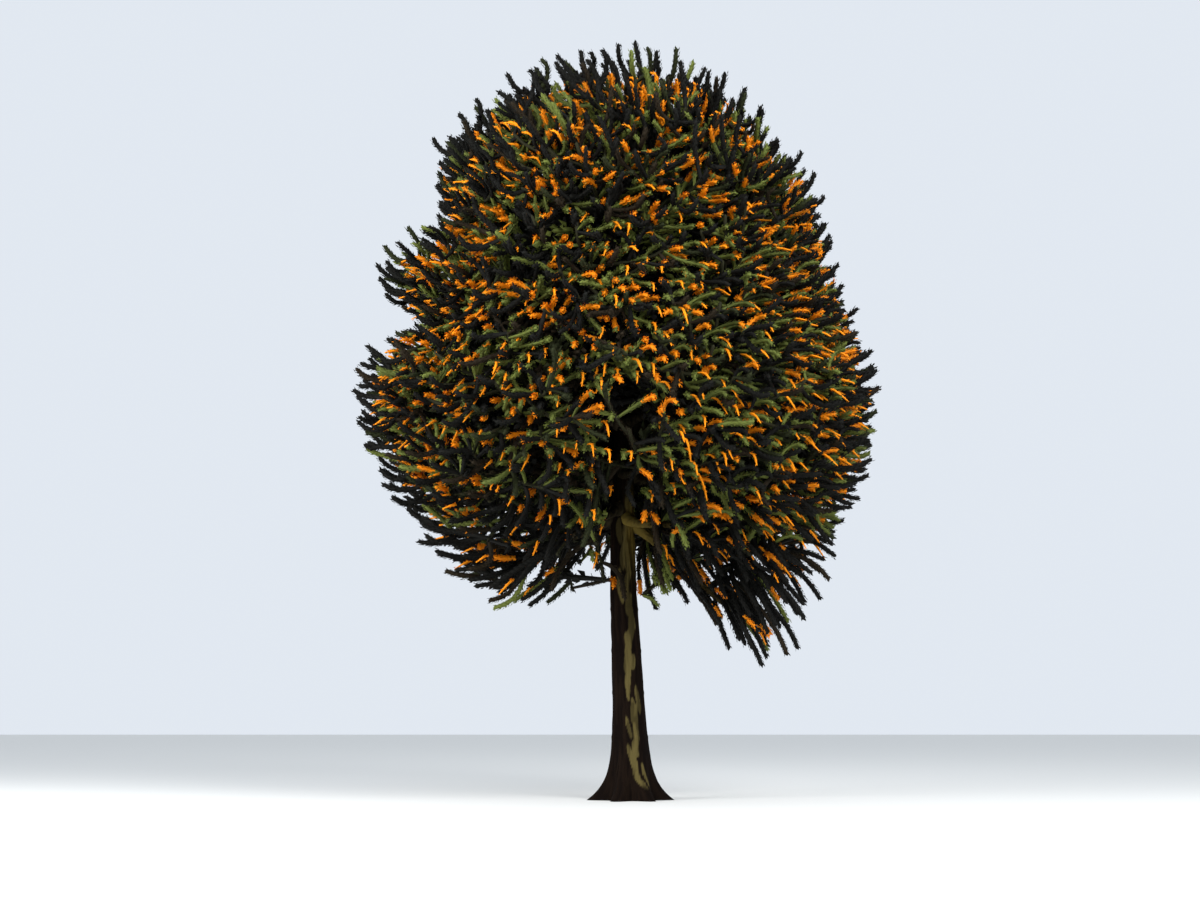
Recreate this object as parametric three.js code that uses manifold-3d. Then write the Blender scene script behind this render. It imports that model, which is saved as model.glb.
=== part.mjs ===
// Monkey puzzle tree (Araucaria araucana), a mature tree standing in open ground.
//
// One straight, slightly swaying trunk runs from a flat cut at ground level, where its
// roots flare into toes, up through an egg-shaped crown. Boughs leave it in whorls: the
// lowest hang, the middle ones reach out level and the top ones climb. Each bough ends
// where it enters a mass of foliage: a stem, the shoots that branch from it, and rope-like
// fingers clothed in scale leaves that curl up at their tips.
//
// Millimetres, +Z up, origin on the ground at the middle of the trunk's cut face.

import * as THREE from "three";
import Module from "manifold-3d";

const wasm = await Module();
wasm.setup();

// Driving dimensions of the trunk
const TRUNK_TOP = 14100;
const TRUNK_TAPER_END = 15900;
const TRUNK_TAPER_POWER = 0.8;
const TRUNK_RADIUS = 345;
const TRUNK_SIDES = 24;
const SWAY_LEFT = 160;
const SWAY_LEFT_SPAN = 11000;
const SWAY_BACK = 90;
const SWAY_BACK_SPAN = 14000;

// Driving dimensions of the root flare
const FLARE = 120;
const FLARE_HEIGHT = 900;
const TOE_COUNT = 6;
const TOE_REACH = 430;
const TOE_REACH_LEAST = 0.55;
const TOE_HEIGHT = 330;
const TOE_HALF_WIDTH = 0.3;
const TOE_TURN = -0.12;
const TOE_STRAY = 0.25;
const LONG_TOE_EVERY = 3;
const FLARE_RINGS = [0, 90, 210, 380, 640, 1150];
const TRUNK_RING_STEP = 1600;

// Driving dimensions of the crown's outline: an egg with a waist, tiers on its left and a
// cut shoulder on its right, and skirts that hang from its underside at both sides. The side
// of a tier is -1 for the left and 1 for the right.
const CROWN_MIDDLE = 8200;
const CROWN_RADIUS = 5600;
const CROWN_RISE = 7800;
const CROWN_DROP = 4350;
const CROWN_SHIFT_LEFT = 260;
const WAIST = { height: 11000, spread: 1900, depth: 0.1 };
const TIERS = [
  { side: -1, height: 12050, spread: 500, reach: -0.17 },
  { side: -1, height: 11250, spread: 420, reach: 0.1 },
  { side: -1, height: 9800, spread: 500, reach: -0.24 },
  { side: 1, height: 14450, spread: 1100, reach: -0.15 },
];
const SKIRTS = [
  { azimuth: 0, width: 0.4, latitude: -0.95, spread: 0.36, drop: 1900 },
  { azimuth: Math.PI, width: 0.65, latitude: -1.02, spread: 0.32, drop: 550 },
];
const PARTING = { azimuth: -Math.PI / 2, width: 0.2, latitude: -0.45 };

// Whorls of boughs, from the lowest up: how many, where they leave the trunk and how thick,
// the latitude on the crown's outline that they grow to, and how much of each is bare bough.
const degrees = (value) => (value * Math.PI) / 180;
const WHORLS = [
  { count: 6, height: 5900, radius: 95, latitude: degrees(-60), turn: 0, bare: 0.4 },
  { count: 7, height: 6850, radius: 98, latitude: degrees(-33), turn: 0.45, bare: 0.4 },
  { count: 7, height: 7900, radius: 95, latitude: degrees(-6), turn: 0.6, bare: 0.4 },
  { count: 7, height: 9100, radius: 85, latitude: degrees(17), turn: 0.05, bare: 0 },
  { count: 6, height: 10800, radius: 70, latitude: degrees(38), turn: 0.4, bare: 0 },
  { count: 4, height: 12400, radius: 60, latitude: degrees(61), turn: 0.2, bare: 0 },
];
const LEADER = { radius: 50, sunk: 40, reach: 0.88 };
const AZIMUTH_STRAY = 0.1;
const STAGGER = 170;
const STAGGER_STEP = 3;
const STAGGER_LEVELS = 7;
const LIMB_REACH = 0.8;
const LIMB_START_RISE = 0.5;
const LIMB_END_RISE = 0.8;
const LIMB_END_LIFT = degrees(15);
const LIMB_STEPS = 5;
const LIMB_TIP_RADIUS = 38;
const BOUGH_SIDES = 5;
const STEM_SIDES = 4;

// Shoots branch from the stems and carry the fingers, ropes of scale leaves
const SHOOT_COUNT = 153;
const INNER_SHARE = 0.25;
const INNER_DEPTH = 0.8;
const SHOOT_STEPS = [0, 0.38, 0.45, 0.64, 0.71, 1];
const SHOOT_RADII = [26, 80, 86, 84, 88, 0];
const FINGER_STEPS = [1, 3];
const FINGER_RADIUS = 90;
const FINGER_LONGEST = 1350;
const FINGER_SHORTEST = 450;
const FINGER_SHORTER = 0.85;
const FINGER_MIDDLE = 0.55;
const FINGER_SPREAD = degrees(48);
const FINGER_SAG = 0.14;
const TIP_SPACING = 380;
const SHOOT_SPACING = 170;
const FIRST_SHOOT = 0.3;
const SHOOTS_FROM = 0.34;
const SHOOTS_TO = 0.92;
const SHOOT_LEAN = 0.5;
const SHOOT_PULL = 0.34;
const SHOOT_UPTURN = 0.68;
const DRAWS = 16;
const DRAW = 0.06;

// Clearances
const JOINT_GAP = 0.3;
const SPACE_MARGIN = 12;

// Colours of the bark and of the three tints of foliage
const BARK = { color: 0x4d4431, roughness: 0.95, metalness: 0 };
const BOUGH_BARK = { color: 0x2f2a22, roughness: 0.95, metalness: 0 };
const FOLIAGE = [
  { color: 0x1d2414, roughness: 0.7, metalness: 0 },
  { color: 0x43521f, roughness: 0.7, metalness: 0 },
  { color: 0x2f3d1c, roughness: 0.7, metalness: 0 },
];

const AREA_STEPS = 180;
const GOLDEN_ANGLE = Math.PI * (3 - Math.sqrt(5));
const UP = new THREE.Vector3(0, 0, 1);
const STEEP = 0.9;

// A number from 0 to 1 that looks random and is the same each time for the same seed
function seeded(seed) {
  const value = Math.sin(seed * 127.1 + 311.7) * 43758.5453;
  return value - Math.floor(value);
}

const bump = (distance, spread) => Math.exp(-((distance / spread) ** 2));

// The smaller turn between two directions, from -pi to pi.
const turnBetween = (a, b) => Math.atan2(Math.sin(a - b), Math.cos(a - b));

// The middle of the trunk at a height.
function trunkCentre(height) {
  const left = SWAY_LEFT * Math.sin((Math.PI * height) / SWAY_LEFT_SPAN) ** 2;
  const back = SWAY_BACK * Math.sin((Math.PI * height) / SWAY_BACK_SPAN) ** 2;
  return new THREE.Vector3(-left, back, height);
}

// The trunk's radius at a height and azimuth: a taper, a flare and the root toes.
function trunkRadius(height, azimuth) {
  const taper = TRUNK_RADIUS * (1 - height / TRUNK_TAPER_END) ** TRUNK_TAPER_POWER;
  const flare = FLARE * Math.exp(-height / FLARE_HEIGHT);
  let toes = 0;
  for (let i = 0; i < TOE_COUNT; i++) {
    const centre = TOE_TURN + ((i + TOE_STRAY * seeded(i)) * 2 * Math.PI) / TOE_COUNT;
    const short = TOE_REACH_LEAST + (1 - TOE_REACH_LEAST) * seeded(i + TOE_COUNT);
    const reach = i % LONG_TOE_EVERY ? short : 1;
    toes += reach * bump(turnBetween(azimuth, centre), TOE_HALF_WIDTH);
  }
  return taper + flare + TOE_REACH * toes * Math.exp(-height / TOE_HEIGHT);
}

// A closed BufferGeometry from rings of points, with a flat first ring, and with a flat
// last ring or a single point.
function closedRings(rings) {
  const positions = rings.flat().flatMap((point) => point.toArray());
  const sides = rings[0].length;
  const index = [];
  for (let k = 1; k < sides - 1; k++) index.push(0, k + 1, k);
  rings.slice(1).forEach((ring, i) => {
    const low = i * sides;
    const high = low + sides;
    for (let k = 0; k < sides; k++) {
      const next = (k + 1) % sides;
      if (ring.length === 1) index.push(low + k, low + next, high);
      else index.push(low + k, low + next, high + k, low + next, high + next, high + k);
    }
    if (i === rings.length - 2 && ring.length > 1)
      for (let k = 1; k < sides - 1; k++) index.push(high, high + k, high + k + 1);
  });
  const geometry = new THREE.BufferGeometry();
  geometry.setAttribute("position", new THREE.Float32BufferAttribute(positions, 3));
  geometry.setIndex(index);
  return geometry;
}

// The rings of a limb: regular sections of the given radii, set square to a path. A last
// radius of 0 ends it in a point, and each section is turned by twist against the last.
function limbRings(path, radii, sides, twist = 0) {
  let across = new THREE.Vector3(0, 0, 1);
  return path.map((point, i) => {
    const ahead = path[Math.min(i + 1, path.length - 1)];
    const behind = path[Math.max(i - 1, 0)];
    const along = ahead.clone().sub(behind).normalize();
    if (Math.abs(across.dot(along)) > STEEP) across = new THREE.Vector3(1, 0, 0);
    across = across.clone().addScaledVector(along, -across.dot(along)).normalize();
    const third = new THREE.Vector3().crossVectors(along, across);
    if (radii[i] === 0) return [point];
    return Array.from({ length: sides }, (_, k) => {
      const angle = (k * 2 * Math.PI) / sides + i * twist;
      return point
        .clone()
        .addScaledVector(across, radii[i] * Math.cos(angle))
        .addScaledVector(third, radii[i] * Math.sin(angle));
    });
  });
}

// The trunk, grown outwards and upwards by a clearance.
function trunkGeometry(clearance = 0) {
  const top = TRUNK_TOP - FLARE_RINGS.at(-1);
  const steps = Math.round(top / TRUNK_RING_STEP);
  const heights = [...FLARE_RINGS];
  for (let i = 1; i <= steps; i++) heights.push(FLARE_RINGS.at(-1) + (top * i) / steps);
  const rings = heights.map((height) => {
    const centre = trunkCentre(height);
    return Array.from({ length: TRUNK_SIDES }, (_, k) => {
      const azimuth = (k * 2 * Math.PI) / TRUNK_SIDES;
      const radius = trunkRadius(height, azimuth) + clearance;
      return new THREE.Vector3(
        centre.x + radius * Math.cos(azimuth),
        centre.y + radius * Math.sin(azimuth),
        height === TRUNK_TOP ? height + clearance : height,
      );
    });
  });
  return closedRings(rings);
}

// A point on the crown's outline. Latitude runs from -pi/2 under the crown to pi/2 at its
// top, azimuth 0 is +X, and depth 1 is the outline itself and less is nearer its middle.
function crownPoint(latitude, azimuth, depth = 1) {
  const height = CROWN_MIDDLE + (latitude < 0 ? CROWN_DROP : CROWN_RISE) * Math.sin(latitude);
  let radius = CROWN_RADIUS * Math.cos(latitude);
  radius *= 1 - WAIST.depth * bump(height - WAIST.height, WAIST.spread);
  for (const tier of TIERS) {
    const sideways = Math.max(0, tier.side * Math.cos(azimuth)) ** 3;
    radius *= 1 + sideways * tier.reach * bump(height - tier.height, tier.spread);
  }
  let hang = 0;
  for (const skirt of SKIRTS) {
    const turned = bump(turnBetween(azimuth, skirt.azimuth), skirt.width);
    hang += skirt.drop * turned * bump(latitude - skirt.latitude, skirt.spread);
  }
  return new THREE.Vector3(
    depth * (radius * Math.cos(azimuth) - CROWN_SHIFT_LEFT * Math.cos(latitude)),
    depth * radius * Math.sin(azimuth),
    CROWN_MIDDLE + depth * (height - CROWN_MIDDLE - hang),
  );
}

// How deep a point lies in the crown, as crownPoint's depth.
function depthOf(point) {
  const rise = point.z - CROWN_MIDDLE;
  const run = Math.hypot(point.x + CROWN_SHIFT_LEFT, point.y);
  const latitude = Math.atan2(rise / (rise < 0 ? CROWN_DROP : CROWN_RISE), run / CROWN_RADIUS);
  const azimuth = Math.atan2(point.y, point.x + CROWN_SHIFT_LEFT);
  const edge = crownPoint(latitude, azimuth);
  const edgeRun = Math.hypot(edge.x + CROWN_SHIFT_LEFT, edge.y);
  return Math.hypot(run, rise) / Math.hypot(edgeRun, edge.z - CROWN_MIDDLE);
}

// Directions spread evenly over the crown by the golden angle, from underneath to the top.
// The shoots part in front of the trunk, low down.
function spreadOverCrown(count) {
  const latitudes = [];
  const areas = [0];
  for (let i = 0; i <= AREA_STEPS; i++) latitudes.push(-Math.PI / 2 + (Math.PI * i) / AREA_STEPS);
  for (let i = 1; i <= AREA_STEPS; i++) {
    const low = crownPoint(latitudes[i - 1], Math.PI / 2);
    const high = crownPoint(latitudes[i], Math.PI / 2);
    areas.push(areas[i - 1] + low.distanceTo(high) * (low.y + high.y));
  }
  const targets = [];
  for (let k = 0; k < count; k++) {
    const area = (areas[AREA_STEPS] * (k + 0.5)) / count;
    const latitude = latitudes[areas.findIndex((below) => below >= area)];
    const azimuth = turnBetween(k * GOLDEN_ANGLE, 0);
    const fromParting = Math.abs(turnBetween(azimuth, PARTING.azimuth));
    if (latitude < PARTING.latitude && fromParting < PARTING.width) continue;
    targets.push({ latitude, azimuth, depth: seeded(k) < INNER_SHARE ? INNER_DEPTH : 1 });
  }
  return targets;
}

// The limbs: each is the path of one bough and of the stem that carries on from it.
function limbPath(height, azimuth, latitude) {
  const start = trunkCentre(height);
  const end = crownPoint(latitude, azimuth, LIMB_REACH);
  const heading = (rise) =>
    new THREE.Vector3(
      Math.cos(azimuth) * Math.cos(rise),
      Math.sin(azimuth) * Math.cos(rise),
      Math.sin(rise),
    );
  const third = start.distanceTo(end) / 3;
  return new THREE.CubicBezierCurve3(
    start,
    start.clone().addScaledVector(heading(latitude * LIMB_START_RISE), third),
    end.clone().addScaledVector(heading(latitude * LIMB_END_RISE + LIMB_END_LIFT), -third),
    end,
  ).getSpacedPoints(LIMB_STEPS);
}

const limbs = WHORLS.flatMap((whorl, w) =>
  Array.from({ length: whorl.count }, (_, i) => {
    const stray = AZIMUTH_STRAY * (2 * seeded(whorl.height + i) - 1);
    const azimuth = turnBetween(whorl.turn + stray + (i * 2 * Math.PI) / whorl.count, 0);
    const level = (i * STAGGER_STEP) % STAGGER_LEVELS;
    const stagger = STAGGER * ((2 * level) / (STAGGER_LEVELS - 1) - 1);
    return {
      name: `${w + 1}_${i + 1}`,
      azimuth,
      latitude: whorl.latitude,
      radius: whorl.radius,
      bare: Math.round(whorl.bare * LIMB_STEPS),
      path: limbPath(whorl.height + stagger, azimuth, whorl.latitude),
    };
  }),
);
limbs.push({
  name: "leader",
  azimuth: 0,
  latitude: Math.PI / 2,
  radius: LEADER.radius,
  bare: 0,
  path: new THREE.LineCurve3(
    trunkCentre(TRUNK_TOP - LEADER.sunk),
    crownPoint(Math.PI / 2, 0, LEADER.reach),
  ).getSpacedPoints(LIMB_STEPS),
});

// The nearest point of a path to a point, as its distance and its place in steps along.
const segment = new THREE.Line3();
const foot = new THREE.Vector3();
function nearestOn(path, point, first = 0, last = path.length - 1) {
  let best = { distance: Infinity };
  for (let i = first; i < last; i++) {
    segment.set(path[i], path[i + 1]);
    const part = segment.closestPointToPointParameter(point, true);
    const distance = segment.at(part, foot).distanceTo(point);
    if (distance < best.distance) best = { distance, place: i + part };
  }
  return best;
}

const alongPath = (path, place) => {
  const i = Math.min(Math.floor(place), path.length - 2);
  return path[i].clone().lerp(path[i + 1], place - i);
};

const limbRadius = (limb, place) =>
  THREE.MathUtils.lerp(limb.radius, LIMB_TIP_RADIUS, place / LIMB_STEPS);

// How thick a twig of a mass may be at a point before it leaves the mass's own space or
// touches a bough or the trunk.
function spaceAt(point, own) {
  const ownDistance = nearestOn(own.path, point).distance;
  let space = Infinity;
  for (const limb of limbs) {
    if (limb.bare) {
      const bough = nearestOn(limb.path, point, 0, limb.bare);
      space = Math.min(space, bough.distance - limbRadius(limb, bough.place));
    }
    if (limb !== own)
      space = Math.min(space, (nearestOn(limb.path, point).distance - ownDistance) / 2);
  }
  const centre = trunkCentre(point.z);
  const fromTrunk = Math.hypot(point.x - centre.x, point.y - centre.y);
  return point.z < TRUNK_TOP ? Math.min(space, fromTrunk - trunkRadius(point.z, 0)) : space;
}

// Whether a twig along these points, of these radii, keeps to its mass's own space.
function keepsToSpace(points, radii, own) {
  return points.every((point, i) => {
    const behind = points[Math.max(i - 1, 0)];
    const thick = Math.max(radii[i], radii[Math.max(i - 1, 0)]);
    const halfway = point.clone().lerp(behind, 0.5);
    return (
      spaceAt(point, own) > radii[i] + SPACE_MARGIN && spaceAt(halfway, own) > thick + SPACE_MARGIN
    );
  });
}

// A shoot leaves its stem leaning forwards, heads for its target on the crown's outline
// and curls upwards at its tip.
function shootPath(stem, place, target) {
  const start = alongPath(stem, place);
  const ahead = alongPath(stem, Math.min(place + SHOOT_LEAN, stem.length - 1));
  const straight = target.clone().sub(start).normalize();
  const lean = ahead.sub(start).normalize().add(straight).normalize();
  const tipward = straight.addScaledVector(UP, SHOOT_UPTURN).normalize();
  const pull = start.distanceTo(target) * SHOOT_PULL;
  const curve = new THREE.CubicBezierCurve3(
    start,
    start.clone().addScaledVector(lean, pull),
    target.clone().addScaledVector(tipward, -pull),
    target,
  );
  return SHOOT_STEPS.map((step) => curve.getPoint(step));
}

// The limb whose stem is nearest to a target, and how far along that stem it lies.
function nearestStem(target) {
  const wanted = crownPoint(target.latitude, target.azimuth, target.depth);
  let best = { distance: Infinity };
  for (const limb of limbs) {
    const near = nearestOn(limb.path, wanted, limb.bare);
    if (near.distance < best.distance) best = { ...near, limb, target };
  }
  return best;
}

// Draws a target towards its limb until the shoot keeps to the mass's own space. Gives
// nothing if no shoot fits.
function growShoot(limb, place, target) {
  let { latitude, azimuth } = target;
  for (let i = 0; i < DRAWS; i++) {
    const path = shootPath(limb.path, place, crownPoint(latitude, azimuth, target.depth));
    if (keepsToSpace(path.slice(1), SHOOT_RADII.slice(1), limb)) return { limb, path };
    latitude += DRAW * (limb.latitude - latitude);
    azimuth += DRAW * turnBetween(limb.azimuth, azimuth);
  }
  return null;
}

// The shoots of one limb leave its stem at even distances, in the order of their targets.
function growShoots(limb, targets) {
  const first = Math.max(limb.bare + FIRST_SHOOT, SHOOTS_FROM * LIMB_STEPS);
  const spacing = (SHOOTS_TO * LIMB_STEPS - first) / targets.length;
  targets.sort((a, b) => a.place - b.place || a.distance - b.distance);
  return targets
    .map(({ target }, i) => growShoot(limb, first + (i + 0.5) * spacing, target))
    .filter(Boolean);
}

// A finger stands on one three-cornered face of its shoot, leans forwards out of it and
// curls up. It is as long as the crown's outline and its mass's space allow.
const tips = [];
function growFinger(face, forwards, shoot) {
  const [a, b, c] = face;
  const root = a.clone().add(b).add(c).divideScalar(3);
  const out = b.clone().sub(a).cross(c.clone().sub(a)).normalize();
  out.addScaledVector(forwards, -out.dot(forwards)).normalize();
  const heading = forwards
    .clone()
    .multiplyScalar(Math.cos(FINGER_SPREAD))
    .addScaledVector(out, Math.sin(FINGER_SPREAD));
  for (let length = FINGER_LONGEST; length > FINGER_SHORTEST; length *= FINGER_SHORTER) {
    const middle = root.clone().addScaledVector(heading, FINGER_MIDDLE * length);
    middle.addScaledVector(UP, -FINGER_SAG * length);
    const tip = root.clone().addScaledVector(heading, length);
    tip.addScaledVector(UP, FINGER_SAG * length);
    const crossed = shoots.some(
      (other) =>
        other !== shoot &&
        other.limb === shoot.limb &&
        [root, middle, tip].some((point) => nearestOn(other.path, point).distance < SHOOT_SPACING),
    );
    const fits =
      !crossed &&
      depthOf(tip) < 1 &&
      tips.every((other) => other.distanceTo(tip) > TIP_SPACING) &&
      keepsToSpace([root, middle, tip], [0, FINGER_RADIUS, 0], shoot.limb);
    if (!fits) continue;
    const ring = face.map((corner) => {
      const arm = corner.clone().sub(root);
      arm.addScaledVector(heading, -arm.dot(heading));
      return middle.clone().addScaledVector(arm.normalize(), FINGER_RADIUS);
    });
    return { tip, geometry: closedRings([face, ring, [tip]]) };
  }
  return null;
}

// Solids for cutting and joining
function solidOf(geometry) {
  return new wasm.Manifold(
    new wasm.Mesh({
      numProp: 3,
      vertProperties: geometry.getAttribute("position").array,
      triVerts: new Uint32Array(geometry.index.array),
    }),
  );
}

// One body, with any loose scrap dropped and any sealed hollow filled.
function wholeBody(solid) {
  const bodies = solid.decompose();
  return bodies.reduce((best, body) => (body.volume() > best.volume() ? body : best));
}

function geometryOf(solid) {
  const mesh = wholeBody(solid).getMesh();
  const geometry = new THREE.BufferGeometry();
  geometry.setAttribute("position", new THREE.BufferAttribute(mesh.vertProperties, 3));
  geometry.setIndex(new THREE.BufferAttribute(mesh.triVerts, 1));
  return geometry;
}

function namedMesh(name, geometry, finish) {
  const mesh = new THREE.Mesh(geometry, new THREE.MeshStandardMaterial(finish));
  mesh.name = name;
  return mesh;
}

const tree = new THREE.Group();
tree.name = "monkey_puzzle_tree";
tree.add(namedMesh("trunk", trunkGeometry(), BARK));
const aroundTrunk = solidOf(trunkGeometry(JOINT_GAP));

// The bare part of each lower limb, cut clear of the trunk at its foot.
const limbRadii = (limb) => limb.path.map((_, i) => limbRadius(limb, i));
function boughSolid(limb) {
  const rings = limbRings(limb.path, limbRadii(limb), BOUGH_SIDES).slice(0, limb.bare + 1);
  return solidOf(closedRings(rings)).subtract(aroundTrunk);
}

// The stem of a mass, 0.3 mm clear of its bough's end or of the trunk.
function stemSolid(limb) {
  const rings = limbRings(limb.path, limbRadii(limb), STEM_SIDES).slice(limb.bare);
  if (!limb.bare) return solidOf(closedRings(rings)).subtract(aroundTrunk);
  const next = limb.path[limb.bare + 1];
  const along = next.clone().sub(limb.path[limb.bare - 1]).normalize();
  for (const point of rings[0]) point.addScaledVector(along, JOINT_GAP);
  return solidOf(closedRings(rings));
}

// A shoot with its fingers, all fused. A finger joins its face and adds only the corners of
// its own ring and tip: one that would cut into its neighbours too is left out.
const FINGER_CORNERS = 4;
function shootSolid(shoot) {
  const { path } = shoot;
  const rings = limbRings(path, SHOOT_RADII, 3, Math.PI / 3);
  let solid = solidOf(closedRings(rings));
  for (const i of FINGER_STEPS) {
    const forwards = path[i + 1].clone().sub(path[i]).normalize();
    for (let k = 0; k < 3; k++) {
      const face = [rings[i][k], rings[i][(k + 1) % 3], rings[i + 1][k]];
      const finger = growFinger(face, forwards, shoot);
      if (!finger) continue;
      const joined = solid.add(solidOf(finger.geometry));
      if (joined.numVert() !== solid.numVert() + FINGER_CORNERS) continue;
      tips.push(finger.tip);
      solid = joined;
    }
  }
  return solid;
}

const targets = spreadOverCrown(SHOOT_COUNT).map(nearestStem);
const shoots = limbs.flatMap((limb) =>
  growShoots(
    limb,
    targets.filter((target) => target.limb === limb),
  ),
);
limbs.forEach((limb, i) => {
  if (limb.bare)
    tree.add(namedMesh(`bough_${limb.name}`, geometryOf(boughSolid(limb)), BOUGH_BARK));
  const grown = shoots.filter((shoot) => shoot.limb === limb).map(shootSolid);
  const mass = grown.reduce((whole, shoot) => whole.add(shoot), stemSolid(limb));
  const finish = FOLIAGE[i % FOLIAGE.length];
  tree.add(namedMesh(`foliage_${limb.name}`, geometryOf(mass), finish));
});

export default tree;
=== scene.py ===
# Monkey puzzle tree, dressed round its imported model. Metres, +Z up, origin on the ground
# at the middle of the trunk's cut foot.
import math

import bpy
import numpy as np
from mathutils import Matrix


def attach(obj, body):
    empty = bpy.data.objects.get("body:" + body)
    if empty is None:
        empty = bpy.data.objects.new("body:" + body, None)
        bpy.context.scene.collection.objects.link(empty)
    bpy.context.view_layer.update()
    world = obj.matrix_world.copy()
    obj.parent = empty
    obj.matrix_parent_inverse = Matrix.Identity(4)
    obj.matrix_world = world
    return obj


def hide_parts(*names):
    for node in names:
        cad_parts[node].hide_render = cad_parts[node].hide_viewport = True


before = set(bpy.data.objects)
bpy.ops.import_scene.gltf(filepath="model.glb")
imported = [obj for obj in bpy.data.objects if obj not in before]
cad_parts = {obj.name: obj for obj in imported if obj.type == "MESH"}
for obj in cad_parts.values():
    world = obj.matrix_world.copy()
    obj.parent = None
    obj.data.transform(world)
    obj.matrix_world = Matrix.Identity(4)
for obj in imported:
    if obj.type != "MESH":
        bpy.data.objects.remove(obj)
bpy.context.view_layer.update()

# The trunk
# One straight stem of solid wood in thick, ridged, grey-brown bark. It tapers all the way
# to its tip, sways a little, and stands on root toes that are cut flat at the ground.
TRUNK_TOP = 14.1
TRUNK_TAPER_END = 15.9
TRUNK_TAPER_POWER = 0.8
TRUNK_RADIUS = 0.345
SWAY_LEFT = 0.16
SWAY_LEFT_SPAN = 11.0
SWAY_BACK = 0.09
SWAY_BACK_SPAN = 14.0
FLARE = 0.12
FLARE_HEIGHT = 0.9
TOE_COUNT = 6
TOE_REACH = 0.43
TOE_REACH_LEAST = 0.55
TOE_HEIGHT = 0.33
TOE_HALF_WIDTH = 0.3
TOE_TURN = -0.12
TOE_STRAY = 0.25
LONG_TOE_EVERY = 3
BARK_SIDES = 120
BARK_STEP = 0.035
CLEAR_TRUNK = 6.6
HIDDEN_STEP = 0.09
RIDGE_COUNT = 520
RIDGE_LENGTHS = (0.22, 0.75)
RIDGE_WIDTHS = (0.022, 0.045)
RIDGE_HEIGHTS = (0.008, 0.02)
RIDGE_LEAN = 0.22
RIDGE_WANDER = 0.05
RIDGE_WAVES = 7
RIDGE_ROUND = 0.7
RIDGES_GATHER_LOW = 1.5
FURROW = 0.008
BARK_LEAST = 0.3
WHORL_SCARS = (1.25, 2.15, 3.0, 3.85, 4.6, 5.2)
SCAR_HEIGHT = 0.03
SCAR_RISE = 0.009
# Paler bark runs up from a toe as a streak of long plates: its azimuth at the ground and
# further up, and the height over which it turns. No streak runs up the left flank, which stays dark
# as painted shade.
PALE_STREAKS = (
    (-0.74, -1.45, 0.9),
    (0.9, 0.55, 1.4),
    (2.35, 2.0, 1.2),
)
PLATES = 34
PLATES_TO = 6.4
SEEDS_PER_STREAK = 40
PLATE_OFFSET = 0.15
PLATE_LENGTHS = (0.16, 0.42)
PLATE_WIDTHS = (0.042, 0.08)
PLATE_WAVE = 0.03
PLATE_WAVES = 6
PLATE_EDGE = 4.5
PLATE_FOOT = 0.32
FOOT_FADE = 3
PALE_IN_FURROWS = 0.45
# A golden glow of painted light on the trunk's lit front-right, under the crown: its azimuth,
# width, height and spread
GLOW_TURN = -0.62
GLOW_WIDTH = 0.5
GLOW_HEIGHT = 5.45
GLOW_SPREAD = 0.65
FULL_TURN = 2 * math.pi
SEED_STEP = 127.1
SEED_SHIFT = 311.7
SEED_SPREAD = 43758.5453


def seeded(seed):
    """A number from 0 to 1 that looks random and is the same each time for the same seed."""
    value = np.sin(np.asarray(seed, float) * SEED_STEP + SEED_SHIFT) * SEED_SPREAD
    return value - np.floor(value)


def dealt(seed, span):
    """A seeded number between the two ends of span."""
    return span[0] + (span[1] - span[0]) * seeded(seed)


def bump(distance, spread):
    """A smooth rise to 1 where the distance is 0."""
    return np.exp(-((distance / spread) ** 2))


def turn_between(a, b):
    """The smaller turn between two directions, from -pi to pi."""
    return np.arctan2(np.sin(a - b), np.cos(a - b))


def trunk_centre(height):
    left = SWAY_LEFT * np.sin(np.pi * height / SWAY_LEFT_SPAN) ** 2
    back = SWAY_BACK * np.sin(np.pi * height / SWAY_BACK_SPAN) ** 2
    return np.stack([-left, back, height], axis=-1)


def trunk_radius(height, azimuth):
    """A taper, a flare and the root toes."""
    taper = TRUNK_RADIUS * (1 - height / TRUNK_TAPER_END) ** TRUNK_TAPER_POWER
    toes = 0
    for i in range(TOE_COUNT):
        centre = TOE_TURN + (i + TOE_STRAY * seeded(i)) * FULL_TURN / TOE_COUNT
        short = TOE_REACH_LEAST + (1 - TOE_REACH_LEAST) * seeded(i + TOE_COUNT)
        reach = short if i % LONG_TOE_EVERY else 1
        toes = toes + reach * bump(turn_between(azimuth, centre), TOE_HALF_WIDTH)
    flare = FLARE * np.exp(-height / FLARE_HEIGHT)
    return taper + flare + TOE_REACH * toes * np.exp(-height / TOE_HEIGHT)


def ring_triangles(rings, sides):
    """The faces between rings of points that lie one after another."""
    low = np.arange(rings - 1)[:, None] * sides
    here = np.arange(sides)[None, :]
    after = (here + 1) % sides
    a, b, c, d = low + here, low + after, low + sides + after, low + sides + here
    return np.concatenate([np.stack([a, b, c], -1), np.stack([a, c, d], -1)]).reshape(-1, 3)


def fan_triangles(ring, middle, upwards):
    """The flat faces between a ring of points and one point in its middle."""
    after = np.roll(ring, -1)
    middles = np.full_like(ring, middle)
    return np.stack([ring, after, middles] if upwards else [after, ring, middles], -1)


def closed_faces(rings, sides):
    """The faces between rings and of both flat ends, whose middles are two points that
    follow the rings."""
    ring = np.arange(sides)
    middle = rings * sides
    foot = fan_triangles(ring, middle, False)
    top = fan_triangles(middle - sides + ring, middle + 1, True)
    return np.concatenate([ring_triangles(rings, sides), foot, top])


def with_middles(values):
    """A number for each point of the rings, and 0 for the two middles."""
    return np.append(values.ravel(), [0, 0])


def new_object(name, data):
    made = bpy.data.objects.new(name, data)
    bpy.context.scene.collection.objects.link(made)
    return made


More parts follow.
